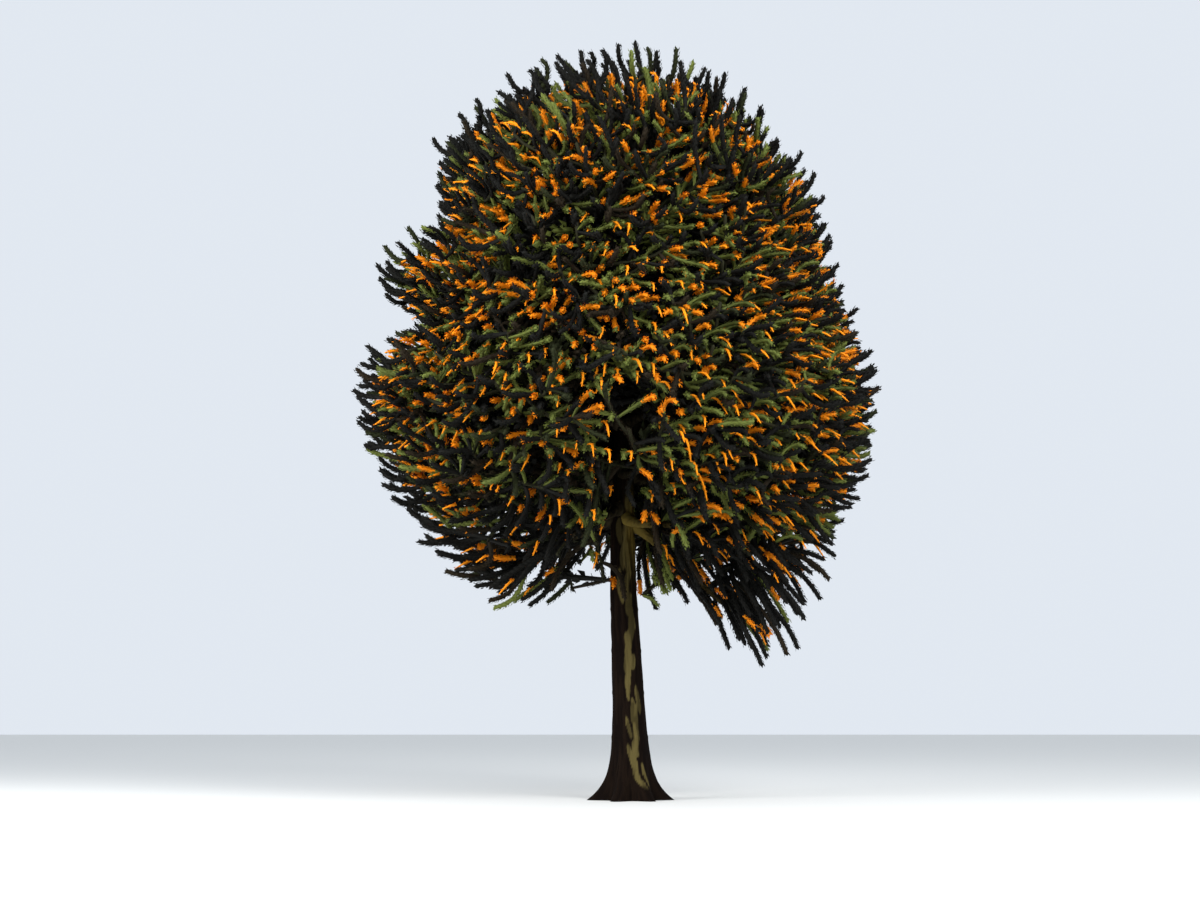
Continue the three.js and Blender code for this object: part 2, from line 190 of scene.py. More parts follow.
def make_piece(name, places, triangles, finishes, which=None, smooth=False, tints=()):
    """A mesh of triangles that rides with the tree. which picks a finish for each face, and
    tints are numbers for each point that a finish reads by name."""
    mesh = bpy.data.meshes.new(name)
    count = len(triangles)
    mesh.vertices.add(len(places))
    mesh.vertices.foreach_set("co", np.float32(places).ravel())
    mesh.loops.add(3 * count)
    mesh.loops.foreach_set("vertex_index", np.int32(triangles).ravel())
    mesh.polygons.add(count)
    mesh.polygons.foreach_set("loop_start", np.arange(0, 3 * count, 3, dtype=np.int32))
    for finish in finishes:
        mesh.materials.append(finish)
    if which is not None:
        mesh.polygons.foreach_set("material_index", np.int32(which))
    mesh.polygons.foreach_set("use_smooth", np.full(count, smooth))
    for tint, values in tints:
        attribute = mesh.attributes.new(tint, "FLOAT", "POINT")
        attribute.data.foreach_set("value", np.float32(values).ravel())
    mesh.update(calc_edges=True)
    made = new_object(name, mesh)
    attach(made, "root")
    return made


def bark_relief(heights, azimuths, radius):
    """Long upright ridges with furrows between, and the rings of old whorls of boughs. Gives
    how far the bark stands out, and how much of that is ridge."""
    ridge = np.zeros((len(heights), len(azimuths)))
    for i in range(RIDGE_COUNT):
        centre = TRUNK_TOP * seeded(i + 0.1) ** RIDGES_GATHER_LOW
        half_length = dealt(i + 0.2, RIDGE_LENGTHS)
        half_width = dealt(i + 0.3, RIDGE_WIDTHS)
        rows = np.flatnonzero(np.abs(heights - centre) < half_length)
        if not len(rows):
            continue
        along = (heights[rows] - centre) / half_length
        lean = RIDGE_LEAN * (2 * seeded(i + 0.4) - 1) * (heights[rows] - centre)
        wander = RIDGE_WANDER * np.sin(RIDGE_WAVES * heights[rows] + i)
        middle = FULL_TURN * seeded(i + 0.5) + lean + wander
        across = turn_between(azimuths[None, :], middle[:, None]) * radius[rows] / half_width
        profile = np.clip(1 - across**2, 0, 1) ** RIDGE_ROUND * (1 - along[:, None] ** 2) ** 0.5
        ridge[rows] = np.maximum(ridge[rows], profile * dealt(i + 0.6, RIDGE_HEIGHTS))
    scars = sum(bump(heights - scar, SCAR_HEIGHT) for scar in WHORL_SCARS)
    return ridge - FURROW + SCAR_RISE * scars[:, None], ridge / RIDGE_HEIGHTS[1]


def pale_plates(heights, azimuths, radius):
    """How pale the bark is, from 0 to 1: long wavy plates that lie in streaks up the trunk."""
    pale = np.zeros((len(heights), len(azimuths)))
    for k, (low_turn, high_turn, turn_height) in enumerate(PALE_STREAKS):
        streak = high_turn + (low_turn - high_turn) * np.exp(-heights / turn_height)
        off = turn_between(azimuths[None, :], streak[:, None]) * radius
        for i in range(PLATES):
            seed = SEEDS_PER_STREAK * k + i
            centre = PLATES_TO * (i + seeded(seed + 0.1)) / PLATES
            along = (heights - centre) / dealt(seed + 0.2, PLATE_LENGTHS)
            middle = PLATE_OFFSET * (2 * seeded(seed + 0.3) - 1)
            middle = middle + PLATE_WAVE * np.sin(PLATE_WAVES * heights + seed)
            across = (off - middle[:, None]) / dealt(seed + 0.4, PLATE_WIDTHS)
            plate = PLATE_EDGE * (1 - across**2 - along[:, None] ** 2)
            pale = np.maximum(pale, np.clip(plate, 0, 1))
    foot = np.clip(FOOT_FADE * heights / PLATE_FOOT - (FOOT_FADE - 1), 0, 1)
    return pale * foot[:, None]


class Shade:
    """A socket of a finish's nodes. An operator on it adds the Math node that it needs."""

    def __init__(self, tree, socket=None):
        self.tree = tree
        self.socket = socket

    def node(self, kind, settings, values, out=0):
        made = self.tree.nodes.new(kind)
        for name, setting in settings.items():
            setattr(made, name, setting)
        for name, value in values.items():
            if isinstance(value, Shade):
                self.tree.links.new(value.socket, made.inputs[name])
            else:
                made.inputs[name].default_value = value
        return Shade(self.tree, made.outputs[out])

    def feed(self, socket):
        self.tree.links.new(self.socket, socket)

    def math(self, operation, a, b):
        return self.node("ShaderNodeMath", {"operation": operation}, {0: a, 1: b})

    def __add__(self, other):
        return self.math("ADD", self, other)

    def __mul__(self, other):
        return self.math("MULTIPLY", self, other)

    __radd__ = __add__
    __rmul__ = __mul__


def plain(red, green, blue):
    """A colour as the screen shows it, from 0 to 255, in the scene's own linear values."""
    shown = np.array([red, green, blue]) / 255
    linear = np.where(shown < 0.04045, shown / 12.92, ((shown + 0.055) / 1.055) ** 2.4)
    return (*linear.tolist(), 1.0)


def new_finish(name, roughness, gloss):
    """An opaque finish, with its shader and a Shade to start its nodes from."""
    finish = bpy.data.materials.new(name)
    finish.use_nodes = True
    shader = finish.node_tree.nodes["Principled BSDF"]
    shader.inputs["Roughness"].default_value = roughness
    shader.inputs["Specular IOR Level"].default_value = gloss
    return finish, shader, Shade(finish.node_tree)


def mix(start, share, first, second):
    return start.node(
        "ShaderNodeMix", {"data_type": "RGBA"}, {"Factor": share, "A": first, "B": second}, "Result"
    )


def noise(spot, scale, detail):
    return spot.node("ShaderNodeTexNoise", {}, {"Vector": spot, "Scale": scale, "Detail": detail})


def raise_bumps(shader, height, strength, distance):
    values = {"Strength": strength, "Distance": distance, "Height": height}
    height.node("ShaderNodeBump", {}, values, "Normal").feed(shader.inputs["Normal"])


def bark_finish(name, dark, brown, pale, gold):
    """Furrows are the darkest. Pale streaks and a golden glow of painted light lie on the ridges
    where the mesh's own numbers put them, under fine upright wrinkles."""
    finish, shader, start = new_finish(name, roughness=0.95, gloss=0.03)
    spot = start.node("ShaderNodeTexCoord", {}, {}, "Object")
    upright = start.node("ShaderNodeMapping", {}, {"Vector": spot, "Scale": (9, 9, 1.6)})
    fine = start.node("ShaderNodeMapping", {}, {"Vector": spot, "Scale": (38, 38, 9)})
    patches = noise(upright, scale=1.0, detail=4)
    grain = noise(fine, scale=1.0, detail=5)
    ridge, streak, painted_glow = (
        start.node("ShaderNodeAttribute", {"attribute_name": tint}, {}, "Fac")
        for tint in ("ridge", "streak", "painted_glow")
    )
    worn = 0.75 + 0.35 * grain
    patchy = 0.35 + 0.9 * patches
    raised = 0.5 + ridge
    colour = mix(start, patches * ridge, dark, brown)
    colour = mix(start, streak * worn, colour, pale)
    # The golden glow of painted light, patchy and stronger on the ridges
    colour = mix(start, painted_glow * patchy * raised, colour, gold)
    colour.feed(shader.inputs["Base Color"])
    dull = 0.82 + 0.16 * grain
    dull.feed(shader.inputs["Roughness"])
    wrinkles = grain + 0.6 * patches
    raise_bumps(shader, wrinkles, strength=0.7, distance=0.012)
    return finish


bark = bark_finish(
    "ridged_bark",
    dark=plain(13, 8, 6),
    brown=plain(30, 21, 14),
    pale=plain(82, 73, 42),
    gold=plain(126, 106, 48),
)

clear_rings = np.arange(0, CLEAR_TRUNK, BARK_STEP)
hidden_rings = np.arange(CLEAR_TRUNK, TRUNK_TOP, HIDDEN_STEP)
ring_heights = np.concatenate([clear_rings, hidden_rings, [TRUNK_TOP]])
ring_azimuths = np.arange(BARK_SIDES) * FULL_TURN / BARK_SIDES
smooth_radius = trunk_radius(ring_heights[:, None], ring_azimuths[None, :])
relief, ridge = bark_relief(ring_heights, ring_azimuths, smooth_radius)
bark_radius = np.maximum(smooth_radius + relief, BARK_LEAST * smooth_radius)
centres = trunk_centre(ring_heights)
around = np.stack([np.cos(ring_azimuths), np.sin(ring_azimuths), 0 * ring_azimuths], -1)
trunk_places = centres[:, None, :] + bark_radius[..., None] * around[None]
pale = pale_plates(ring_heights, ring_azimuths, smooth_radius)
worn_pale = PALE_IN_FURROWS + (1 - PALE_IN_FURROWS) * np.clip(2 * ridge, 0, 1)
# Where the painted golden light lies on the trunk
glow_place = bump(turn_between(ring_azimuths, GLOW_TURN), GLOW_WIDTH)[None, :]
painted_glow = glow_place * bump(ring_heights - GLOW_HEIGHT, GLOW_SPREAD)[:, None]
trunk = make_piece(
    "trunk_bark",
    np.concatenate([trunk_places.reshape(-1, 3), centres[:1], centres[-1:]]),
    closed_faces(len(trunk_places), BARK_SIDES),
    [bark],
    smooth=True,
    tints=[
        ("ridge", with_middles(ridge)),
        ("streak", with_middles(pale * worn_pale)),
        ("painted_glow", with_middles(painted_glow)),
    ],
)
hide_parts("trunk")

# The boughs
# Limbs of solid wood in rough dark bark, in whorls up the trunk. Each grows out of a collar
# in the bark, tapers all the way and runs on through its mass of foliage as its stem.
CROWN_MIDDLE = 8.2
CROWN_RADIUS = 5.6
CROWN_RISE = 7.8
CROWN_DROP = 4.35
CROWN_SHIFT_LEFT = 0.26
WAIST_HEIGHT = 11.0
WAIST_SPREAD = 1.9
WAIST_DEPTH = 0.1
# Tiers and a slimmer hem on the crown's left, where side is -1, and a cut shoulder on its
# right: the side, height, spread and reach of each
TIERS = (
    (-1, 12.3, 0.75, -0.15),
    (-1, 11.05, 0.5, 0.08),
    (-1, 9.8, 0.55, -0.2),
    (-1, 6.1, 1.5, -0.06),
    (1, 14.45, 1.1, -0.15),
)
# Skirts that hang from the crown's underside: their turn, width, latitude, spread and drop
SKIRTS = (
    (0.0, 0.4, -0.95, 0.36, 1.9),
    (math.pi, 0.65, -1.02, 0.32, 0.55),
)
# Whorls from the lowest up: boughs, height and radius at the trunk, the latitude in degrees
# on the crown's outline that they grow to, their turn, and how much of each is bare
WHORLS = (
    (6, 5.9, 0.095, -60, 0.0, 0.4),
    (7, 6.85, 0.098, -33, 0.45, 0.4),
    (7, 7.9, 0.095, -6, 0.6, 0.4),
    (7, 9.1, 0.085, 17, 0.05, 0.0),
    (6, 10.8, 0.07, 38, 0.4, 0.0),
    (4, 12.4, 0.06, 61, 0.2, 0.0),
)
LEADER_RADIUS = 0.05
LEADER_SUNK = 0.04
LEADER_REACH = 0.88
AZIMUTH_STRAY = 0.1
STAGGER = 0.17
STAGGER_STEP = 3
STAGGER_LEVELS = 7
LIMB_REACH = 0.8
LIMB_START_RISE = 0.5
LIMB_END_RISE = 0.8
LIMB_END_LIFT = math.radians(15)
LIMB_STEPS = 5
CURVE_POINTS = 241
STEEP = 0.97
LIMB_TIP_RADIUS = 0.038
MILLIMETRES = 1000
LIMB_RING_STEP = 0.055
LIMB_SIDES = 11
COLLAR = 0.75
COLLAR_LENGTH = 0.16
KNOTS = 0.1
# A golden glow of painted light on the lowest boughs that point right: its strength, how far out
# from the bark it fades, and how far right they point
GOLD = 1.5
GOLD_LENGTH = 1.1
GOLD_FROM = 0.3
BOUGH_STREAK = 0.5
SEEDS_PER_LEVEL = 1000.0
SEEDS_PER_LIMB = 37
LEVELS = ("low", "middle", "upper", "top")
LEVEL_OF_WHORL = (0, 0, 1, 2, 3, 3)
UP = np.array([0.0, 0.0, 1.0])


def unit(vectors):
    return vectors / np.maximum(np.linalg.norm(vectors, axis=-1, keepdims=True), 1e-9)


def shelf(distance, spread):
    """A bump with a flatter top and steeper sides."""
    return np.exp(-((distance / spread) ** 4))


def crown_point(latitude, azimuth, depth=1.0):
    """A point on the crown's outline, or nearer its middle where depth is less than 1."""
    sine = np.sin(latitude)
    height = CROWN_MIDDLE + np.where(latitude < 0, CROWN_DROP, CROWN_RISE) * sine
    radius = CROWN_RADIUS * np.cos(latitude)
    radius = radius * (1 - WAIST_DEPTH * bump(height - WAIST_HEIGHT, WAIST_SPREAD))
    for side, tier_height, spread, reach in TIERS:
        sideways = np.maximum(0, side * np.cos(azimuth)) ** 3
        radius = radius * (1 + sideways * reach * shelf(height - tier_height, spread))
    hang = 0
    for skirt_turn, width, skirt_latitude, spread, drop in SKIRTS:
        turned = bump(turn_between(azimuth, skirt_turn), width)
        hang = hang + drop * turned * bump(latitude - skirt_latitude, spread)
    shift = CROWN_SHIFT_LEFT * np.cos(latitude)
    x = depth * (radius * np.cos(azimuth) - shift)
    y = depth * radius * np.sin(azimuth)
    z = CROWN_MIDDLE + depth * (height - CROWN_MIDDLE - hang)
    return np.stack(np.broadcast_arrays(x, y, z), axis=-1)


def bezier(a, b, c, d, t):
    """Points of cubic curves at t, and the curves' headings there."""
    s = 1 - t
    places = s**3 * a + 3 * s**2 * t * b + 3 * s * t**2 * c + t**3 * d
    headings = 3 * s**2 * (b - a) + 6 * s * t * (c - b) + 3 * t**2 * (d - c)
    return places, unit(headings)


def spaced(points, count):
    """Points at even distances along a fine polyline, ends included."""
    lengths = np.append(0, np.cumsum(np.linalg.norm(np.diff(points, axis=0), axis=1)))
    wanted = np.linspace(0, lengths[-1], count)
    return np.stack([np.interp(wanted, lengths, points[:, k]) for k in range(3)], -1)


def limb_curve(height, azimuth, latitude):
    start = trunk_centre(np.float64(height))
    end = crown_point(latitude, azimuth, LIMB_REACH)

    def heading(rise):
        level = math.cos(rise)
        return np.array([math.cos(azimuth) * level, math.sin(azimuth) * level, math.sin(rise)])

    third = np.linalg.norm(end - start) / 3
    leaving = start + third * heading(latitude * LIMB_START_RISE)
    arriving = end - third * heading(latitude * LIMB_END_RISE + LIMB_END_LIFT)
    return bezier(start, leaving, arriving, end, curve_steps)[0]


curve_steps = np.linspace(0, 1, CURVE_POINTS)[:, None]
limbs = []
for w, (count, height, radius, degrees, turn, bare) in enumerate(WHORLS):
    latitude = math.radians(degrees)
    for i in range(count):
        stray = AZIMUTH_STRAY * (2 * seeded(height * MILLIMETRES + i) - 1)
        azimuth = float(turn_between(turn + stray + i * FULL_TURN / count, 0))
        level = (i * STAGGER_STEP) % STAGGER_LEVELS
        stagger = STAGGER * (2 * level / (STAGGER_LEVELS - 1) - 1)
        limbs.append(
            dict(
                name=f"{w + 1}_{i + 1}",
                level=LEVEL_OF_WHORL[w],
                azimuth=azimuth,
                latitude=latitude,
                radius=radius,
                bare=round(bare * LIMB_STEPS),
                curve=limb_curve(height + stagger, azimuth, latitude),
            )
        )
leader_foot = trunk_centre(np.float64(TRUNK_TOP - LEADER_SUNK))
leader_tip = crown_point(np.pi / 2, 0.0, LEADER_REACH)
limbs.append(
    dict(
        name="leader",
        level=len(LEVELS) - 1,
        azimuth=0.0,
        latitude=math.pi / 2,
        radius=LEADER_RADIUS,
        bare=0,
        curve=curve_steps * (leader_tip - leader_foot) + leader_foot,
    )
)
# The names of each level's masses of foliage
masses = [
    [f"foliage_{limb['name']}" for limb in limbs if limb["level"] == level]
    for level in range(len(LEVELS))
]


def frames_along(headings):
    """Two directions square to each heading: one across it and one over it."""
    steep = np.abs(headings[..., 2:]) > STEEP
    across = unit(np.cross(headings, np.where(steep, np.array([1.0, 0, 0]), UP)))
    return across, np.cross(across, headings)


def tube(centres, headings, radii, sides):
    """The rings of a round limb along its centres. radii are for each ring, or each point."""
    across, over = frames_along(headings)
    angles = np.arange(sides) * FULL_TURN / sides
    wide = across[..., None, :] * np.cos(angles)[:, None]
    high = over[..., None, :] * np.sin(angles)[:, None]
    return centres[..., None, :] + np.asarray(radii)[..., None] * (wide + high)


def limb_mesh(limb, seed):
    """A limb with its collar and knots, as points and faces, with where painted golden light lies
    and how far the bark is raised."""
    length = np.linalg.norm(np.diff(limb["curve"], axis=0), axis=1).sum()
    rings = int(length / LIMB_RING_STEP) + 2
    centres = spaced(limb["curve"], rings)
    headings = unit(np.gradient(centres, axis=0))
    share = np.linspace(0, 1, rings)
    radii = limb["radius"] + (LIMB_TIP_RADIUS - limb["radius"]) * share
    from_bark = share * length - trunk_radius(centres[0, 2], limb["azimuth"])
    radii = radii * (1 + COLLAR * np.exp(-np.maximum(from_bark, 0) / COLLAR_LENGTH))
    rough = seeded(seed + np.arange(rings * LIMB_SIDES)).reshape(rings, LIMB_SIDES)
    swell = (2 * seeded(seed + np.arange(rings)) - 1)[:, None]
    rough = 1 + KNOTS * (2 * rough - 1) + 0.5 * KNOTS * swell
    places = tube(centres, headings, radii[:, None] * rough, LIMB_SIDES).reshape(-1, 3)
    places = np.concatenate([places, centres[:1], centres[-1:]])
    # The lowest boughs that point right carry the painted golden light near the trunk
    golden = limb["name"].startswith("1_") and math.cos(limb["azimuth"]) > GOLD_FROM
    gold = GOLD * np.exp(-np.maximum(from_bark, 0) / GOLD_LENGTH) * golden
    gold = with_middles(np.repeat(gold, LIMB_SIDES))
    ridge = with_middles(rough - 1 + KNOTS) / (3 * KNOTS)
    return places, closed_faces(rings, LIMB_SIDES), gold, ridge


def join(parts):
    """Several meshes' points and faces as one."""
    firsts = np.append(0, np.cumsum([len(part[0]) for part in parts]))
    places = np.concatenate([part[0] for part in parts])
    faces = np.concatenate([part[1] + first for part, first in zip(parts, firsts)])
    return places, faces


bough_bark = bark_finish(
    "bough_bark",
    dark=plain(20, 15, 12),
    brown=plain(52, 42, 30),
    pale=plain(88, 82, 58),
    gold=plain(112, 96, 46),
)

for level, level_name in enumerate(LEVELS):
    grown = [limb for limb in limbs if limb["level"] == level]
    seed = SEEDS_PER_LEVEL * level
    parts = [limb_mesh(limb, seed + SEEDS_PER_LIMB * k) for k, limb in enumerate(grown)]
    places, faces = join(parts)
    ridge = np.concatenate([part[3] for part in parts])
    boughs = make_piece(
        f"boughs_{level_name}",
        places,
        faces,
        [bough_bark],
        smooth=True,
        tints=[
            ("ridge", ridge),
            ("streak", BOUGH_STREAK * ridge),
            ("painted_glow", np.concatenate([part[2] for part in parts])),
        ],
    )
    bare = [f"bough_{limb['name']}" for limb in grown if limb["bare"]]
    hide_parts(*(bare or masses[level]))

# The shoots
# Side branches of the stems, as thick as a wrist and still green. They leave the stem at
# even distances, lean forwards, and turn up at their tips, or down where they are low.
AREA_STEPS = 180
GOLDEN_ANGLE = math.pi * (3 - math.sqrt(5))
SHOOT_COUNT = 650
# The crown parts in front of the trunk, below a latitude
PARTING_TURN = -math.pi / 2
PARTING_WIDTH = 0.2
PARTING_LATITUDE = -0.45
INNER_SHARE = 0.25
INNER_DEPTH = 0.68
FIRST_SHOOT = 0.3
SHOOTS_FROM = 0.34
SHOOTS_TO = 0.96
SHOOT_LEAN = 0.5
SHOOT_PULL = 0.34
SHOOT_TURN_HEIGHTS = (4.5, 7.0)
SHOOT_UPTURNS = (-0.5, 0.68)
SHOOT_TIP_DEPTH = 0.9
SHOOT_ROOM = 0.07
SHOOT_TESTS = (0.4, 0.6, 0.8, 1.0)
DRAWS = 16
DRAW = 0.06
# How many of the shoots are kept low down, where the crown is open, by height
LOW_HEIGHTS = (4.6, 6.4)
LOW_SHARES = (0.35, 1.0)
SHOOT_RINGS = 8
SHOOT_SIDES = 4
SHOOT_RADIUS = 0.04
SHOOT_TIP_RADIUS = 0.036

stem_paths = np.stack([spaced(limb["curve"], LIMB_STEPS + 1) for limb in limbs])
limb_bare, limb_radii, limb_azimuths, limb_latitudes, limb_levels = (
    np.array([limb[key] for limb in limbs])
    for key in ("bare", "radius", "azimuth", "latitude", "level")
)
is_bare = np.arange(LIMB_STEPS) < limb_bare[:, None]


def spread_over_crown(count, depths, seed, parting):
    """Directions spread evenly over the crown by the golden angle, from underneath to the
    top. They part in front of the trunk, low down, by a half width."""
    latitudes = -np.pi / 2 + np.pi * np.arange(AREA_STEPS + 1) / AREA_STEPS
    edge = crown_point(latitudes, np.pi / 2)
    steps = np.linalg.norm(np.diff(edge, axis=0), axis=1) * (edge[1:, 1] + edge[:-1, 1])
    areas = np.append(0, np.cumsum(steps))
    k = np.arange(count)
    latitude = np.interp(areas[-1] * (k + 0.5) / count, areas, latitudes)
    azimuth = turn_between(k * GOLDEN_ANGLE + seed, 0)
    depth = depths(seeded(k + seed))
    fields = np.stack([latitude, azimuth, depth], -1)
    from_parting = np.abs(turn_between(azimuth, PARTING_TURN))
    parted = (latitude < PARTING_LATITUDE) & (from_parting < parting)
    return fields[~parted]


def to_segments(points, starts, ends):
    """Distances from points to segments, and how far along each segment they fall."""
    run = ends - starts
    arm = points[:, None, :] - starts[None]
    share = np.clip((arm * run).sum(-1) / (run**2).sum(-1), 0, 1)
    return np.linalg.norm(arm - share[..., None] * run, axis=-1), share


def to_stems(points, counted=True):
    """Distances from points to the steps of every limb that are counted, and their places
    along it in steps."""
    starts = stem_paths[:, :-1].reshape(-1, 3)
    ends = stem_paths[:, 1:].reshape(-1, 3)
    distance, share = to_segments(points, starts, ends)
    distance = distance.reshape(len(points), len(limbs), LIMB_STEPS)
    distance = np.where(counted, distance, np.inf)
    best = distance.argmin(-1)
    place = np.take_along_axis(share.reshape(distance.shape), best[..., None], -1)[..., 0] + best
    return distance.min(-1), place


def from_trunk(points):
    """The ways to points from the trunk's middle, level with each."""
    return points - trunk_centre(points[:, 2])


def room_at(points):
    """How far points are from the trunk's bark, and from the bare boughs'."""
    off = np.linalg.norm(from_trunk(points)[:, :2], axis=-1)
    trunk_room = off - trunk_radius(np.clip(points[:, 2], 0, TRUNK_TOP), 0)
    trunk_room = np.where(points[:, 2] < TRUNK_TOP, trunk_room, np.inf)
    bough, place = to_stems(points, is_bare)
    thick = limb_radii + (LIMB_TIP_RADIUS - limb_radii) * np.minimum(place, LIMB_STEPS) / LIMB_STEPS
    return trunk_room, (bough - thick).min(-1)


def space_at(points, own):
    """How thick a twig may be at a point before it leaves its mass's own space or touches a
    bough or the trunk."""
    stem = to_stems(points)[0]
    rows = np.arange(len(points))
    own_distance = stem[rows, own]
    stem[rows, own] = np.inf
    return np.minimum.reduce([(stem.min(-1) - own_distance) / 2, *room_at(points)])


def along_stem(limb, place):
    i = np.clip(np.floor(place).astype(int), 0, LIMB_STEPS - 1)
    share = (place - i)[:, None]
    return stem_paths[limb, i] * (1 - share) + stem_paths[limb, i + 1] * share


def shoot_curves(limb, place, targets):
    """The control points of shoots that leave their stems for targets."""
    start = along_stem(limb, place)
    ahead = along_stem(limb, np.minimum(place + SHOOT_LEAN, LIMB_STEPS)) - start
    straight = unit(targets - start)
    lean = unit(unit(ahead) + straight)
    pull = np.linalg.norm(targets - start, axis=-1, keepdims=True) * SHOOT_PULL
    upturn = np.interp(targets[:, 2], SHOOT_TURN_HEIGHTS, SHOOT_UPTURNS)[:, None]
    tipward = unit(straight + upturn * UP)
    return np.stack([start, start + pull * lean, targets - pull * tipward, targets])


def curve_points(curves, t):
    """Points and headings of many curves, each at the same places t."""
    return bezier(*curves[:, :, None], np.asarray(t)[None, :, None])


def grow_shoots():
    """Each direction goes to its nearest stem. A stem's shoots leave it at even distances,
    and one that lacks room is drawn towards its limb until it fits."""
    fields = spread_over_crown(
        SHOOT_COUNT,
        lambda deal: np.where(deal < INNER_SHARE, INNER_DEPTH, SHOOT_TIP_DEPTH),
        0,
        PARTING_WIDTH,
    )
    distance, place = to_stems(crown_point(*fields.T), ~is_bare)
    limb = distance.argmin(-1)
    rows = np.arange(len(fields))
    place, distance = place[rows, limb], distance[rows, limb]
    for own in range(len(limbs)):
        mine = np.flatnonzero(limb == own)
        if not len(mine):
            continue
        mine = mine[np.lexsort((distance[mine], place[mine]))]
        first = max(limb_bare[own] + FIRST_SHOOT, SHOOTS_FROM * LIMB_STEPS)
        spacing = (SHOOTS_TO * LIMB_STEPS - first) / len(mine)
        place[mine] = first + (np.arange(len(mine)) + 0.5) * spacing
    latitude, azimuth, depth = fields.T
    for _ in range(DRAWS):
        curves = shoot_curves(limb, place, crown_point(latitude, azimuth, depth))
        path = curve_points(curves, SHOOT_TESTS)[0]
        room = space_at(path.reshape(-1, 3), np.repeat(limb, path.shape[1]))
        fits = room.reshape(len(fields), -1).min(-1) > SHOOT_ROOM
        step = np.where(fits, 0, DRAW)
        latitude = latitude + step * (limb_latitudes[limb] - latitude)
        azimuth = azimuth + step * turn_between(limb_azimuths[limb], azimuth)
    targets = crown_point(latitude, azimuth, depth)
    fits = fits & (seeded(rows + 0.35) < np.interp(targets[:, 2], LOW_HEIGHTS, LOW_SHARES))
    curves = shoot_curves(limb, place, targets)
    return limb[fits], curves[:, fits]


shoot_limbs, shoots = grow_shoots()
shoot_levels = limb_levels[shoot_limbs]


def tubes(curves, rings, sides, radii):
    """Tapering round twigs along many curves, each closed by a point at its tip."""
    t = np.linspace(0, 1, rings)
    centres, headings = curve_points(curves, t)
    places = tube(centres, headings, np.asarray(radii)[None, :, None], sides)
    count = len(places)
    tips = centres[:, -1:] + headings[:, -1:] * radii[-1]
    places = np.concatenate([places.reshape(count, rings * sides, 3), tips], 1)
    body = ring_triangles(rings, sides)
    end = fan_triangles((rings - 1) * sides + np.arange(sides), rings * sides, True)
    each = np.concatenate([body, end])
    firsts = np.arange(count)[:, None, None] * (rings * sides + 1)
    return places.reshape(-1, 3), (each[None] + firsts).reshape(-1, 3)


def green_finish(name, colour, roughness):
    """One plain colour, dealt out by spray, under a waxy bloom and the fine ribs of a leaf."""
    finish, shader, start = new_finish(name, roughness, gloss=0.15)
    shader.inputs["Base Color"].default_value = colour
    spot = start.node("ShaderNodeTexCoord", {}, {}, "Object")
    waxy = roughness - 0.15 + 0.3 * noise(spot, scale=9.0, detail=3)
    waxy.feed(shader.inputs["Roughness"])
    raise_bumps(shader, noise(spot, scale=160.0, detail=2), strength=0.35, distance=0.003)
    return finish


shoot_green = green_finish("shoot_green", plain(38, 38, 22), 0.8)
shoot_radii = np.linspace(SHOOT_RADIUS, SHOOT_TIP_RADIUS, SHOOT_RINGS)
for level, level_name in enumerate(LEVELS):
    mine = shoots[:, shoot_levels == level]
    places, faces = tubes(mine, SHOOT_RINGS, SHOOT_SIDES, shoot_radii)
    side_shoots = make_piece(f"shoots_{level_name}", places, faces, [shoot_green], smooth=True)
    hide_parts(*masses[level])

# The ropes of foliage
# The youngest twigs, as thick as a rope with the bases of their scale leaves packed round
# them. Each branches from the nearest shoot. High up they climb and hook over at the tip,
# lower down they arch out and hang, and along the crown's hem they run free.
TOP_SETBACK = 0.06
TOP_POWER = 6
RIGHT_SETBACK = 0.022
EDGE_DEPTH = 0.945
# How far the ropes climb for each metre outwards, by height, at the crown's sides
CLIMB_HEIGHTS = (3.0, 4.0, 5.0, 6.0, 8.0, 10.0, 12.0, 14.0, 16.0)
CLIMBS = (-2.6, -1.4, -0.8, -0.35, -0.05, 0.28, 0.6, 1.2, 3.0)
LEFT_LIFT = 0.75
LEFT_CURL = 0.4
LEFT_HEIGHTS = (5.5, 7.5)
FRONT_DROOP = 0.8
DROOP_TOP = 13.0
DROOP_FADE = 1.1
ROPE_STRAY = 0.42
# Free ropes curl up more the higher they are, and are longer along the crown's hem
CURL_HEIGHTS = (4.5, 7.0)
CURLS = (-0.05, 0.85)
STEEPEST_CURLED = 1
HEM_HEIGHTS = (4.6, 6.2)
HEM_LENGTHS = (1.5, 1.0)
RISING = 0.45
OTHER_WAY = 0.2
ARCH_OUT = 0.6
ARCH_ROUND = 0.75
ARCH_UP = 0.4
HOOK_ROUND = 1.1
ROPE_END = 0.38
ROPE_MIDDLE = 0.36
ROPE_FOOT = 0.26
ROPE_RINGS = 6
ROPE_SIDES = 3
ROPE_ENDS = (0.7, 0.8)
FREE_RADIUS = 0.056
FREE_SWEEP = 0.9
TRUNK_ROOM = 0.07
BOUGH_ROOM = 0.05
ROOM_TESTS = (0.25, 0.5, 0.75, 1.0)
GAP_TESTS = (0.3, 0.5, 0.7, 0.85, 1.0)
SHOOT_SAMPLES = 24
SAMPLED_AT_ONCE = 1000
SHOOT_FOOT = 0.08
ROPE_SAMPLES = 11
GAP_HALF_WIDTH = 0.3
GAP_TOP = 8.9
GAP_SLOPE = 0.19
GAP_TAPER = 0.2
ARCH_HALF_WIDTH = 2.0
ARCH_TOP = 4.6
ARCH_STRAY = 0.6
ARCH_SIDES = 0.66
ARCH_LEFT = 0.75
ARCH_SLOPE = 0.095
GAP_CROSSED = 0.02
# How many of the ropes that fill the crown there are low down, by height. The right is
# filled to a lower height than the left
FILLED_HEIGHTS = (4.9, 6.5)
FILLED = (0.08, 1.0)
FILLED_RIGHT = 0.16
# How many of the free ropes there are up to just right of the trunk, where it is low and the
# sky shows through
OPEN_TO = 1.6
OPEN_BELOW = 5.2
OPEN_KEPT = 0.62

